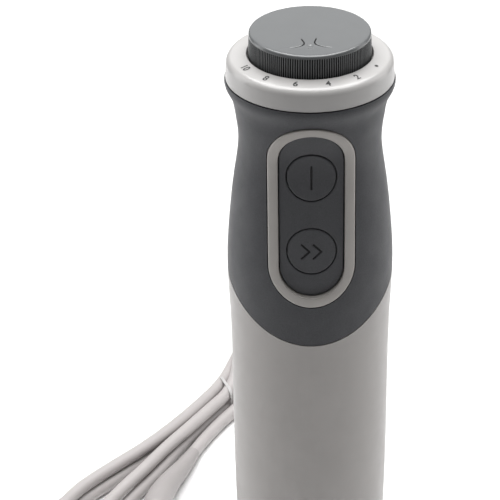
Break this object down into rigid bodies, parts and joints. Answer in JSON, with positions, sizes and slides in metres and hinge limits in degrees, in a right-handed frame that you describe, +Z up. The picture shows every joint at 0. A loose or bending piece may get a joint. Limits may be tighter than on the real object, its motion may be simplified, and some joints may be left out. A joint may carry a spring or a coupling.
{
  "type": "immersion blender",
  "caption": "Upright hand blender with a top speed dial, two front buttons, soft grip, detachable metal foot with bell guard and blade, and a tied mains lead.",
  "frame": {"origin": "centre of the blender's footprint on the surface it stands on: the drive shaft's axis at the bell rim", "axes": "+Z up along the drive shaft, -Y is the side with the buttons, +X to the right seen from the buttons' side"},
  "size_m": [0.2167, 0.4465, 0.4127],
  "materials": {
    "dial_grey": "gloss grey",
    "collar_white": "gloss white",
    "grip_dark": "soft-touch, fine speckle",
    "panel_dark": "matte",
    "bezel_satin": "satin warm grey",
    "body_grey": "satin light grey",
    "cord_grey": "smooth PVC",
    "tie_white": "coated twist tie",
    "plug_grey": "moulded PVC",
    "pin_brass": "nickel-plated brass",
    "stainless": "brushed",
    "bright_steel": "ground",
    "inner_black": "moulded nylon",
    "board_green": "solder mask",
    "copper": "lacquered copper",
    "lamination": "stacked laminations",
    "carbon": "pressed carbon",
    "damper_rubber": "matte",
    "alloy": "plain",
    "bush_bronze": "sintered bronze",
    "fan_plastic": "natural nylon"
  },
  "bodies": {
    "housing": {"top_ring": "collar_white", "grip_cover": "grip_dark", "lower_housing": "body_grey", "joint_sleeve": "inner_black", "button_bezel": "bezel_satin", "button_panel": "panel_dark", "on_microswitch": "inner_black", "turbo_microswitch": "inner_black", "switch_carrier": "inner_black", "control_board": "board_green", "board_spacers": "inner_black", "carrier_screws": "bright_steel", "suppressor_capacitor": "inner_black", "triac": "inner_black", "heat_sink": "alloy", "dial_potentiometer": "alloy", "dial_board": "board_green", "upper_bearing": "bush_bronze", "lower_bearing": "bush_bronze", "motor_upper_bracket": "inner_black", "motor_lower_bracket": "inner_black", "upper_damper": "damper_rubber", "lower_damper": "damper_rubber", "stator_stack": "lamination", "field_coils": "copper", "brush_holders": "bush_bronze", "carbon_brushes": "carbon", "motor_seal": "damper_rubber", "locking_ring": "inner_black", "strain_relief": "cord_grey", "mains_cord": "cord_grey", "cord_clamp": "inner_black", "cord_hank": "cord_grey", "plug_lead": "cord_grey", "hank_tie": "tie_white", "plug_body": "plug_grey", "plug_pins": "pin_brass"},
    "dial": {"speed_dial": "dial_grey", "dial_spindle": "bright_steel"},
    "on_key": {"on_button": "panel_dark", "on_plunger": "inner_black"},
    "turbo_key": {"turbo_button": "panel_dark", "turbo_plunger": "inner_black"},
    "drive_train": {"motor_shaft": "bright_steel", "armature_core": "lamination", "armature_winding": "copper", "commutator": "copper", "cooling_fan": "fan_plastic", "drive_coupling": "inner_black", "lower_drive_shaft": "bright_steel", "drive_key": "bright_steel", "blade_hub": "bright_steel", "blade": "bright_steel"},
    "foot": {"foot_collar": "body_grey", "foot_tube": "stainless", "bell_guard": "stainless", "bush_carrier": "inner_black", "lower_bush": "bush_bronze", "upper_bush": "bush_bronze", "shaft_seal": "damper_rubber"}
  },
  "joints": [
    {"name": "dial_turn", "type": "hinge", "parent": "housing", "child": "dial", "pos_m": [0, 0, 0.404], "axis": [0, 0, 1], "range_deg": [-62.5, 62.5]},
    {"name": "on_press", "type": "slide", "parent": "housing", "child": "on_key", "axis": [0, 1, 0], "range_m": [0, 0.0012], "stiffness_N_per_m": 1500, "springref_m": -0.001},
    {"name": "turbo_press", "type": "slide", "parent": "housing", "child": "turbo_key", "axis": [0, 1, 0], "range_m": [0, 0.0012], "stiffness_N_per_m": 1500, "springref_m": -0.001},
    {"name": "drive_spin", "type": "hinge", "parent": "housing", "child": "drive_train", "pos_m": [0, 0, 0.2], "axis": [0, 0, 1], "continuous": true},
    {"name": "foot_twist", "type": "hinge", "parent": "housing", "child": "foot", "pos_m": [0, 0, 0.18], "axis": [0, 0, 1], "range_deg": [0, 30]}
  ]
}
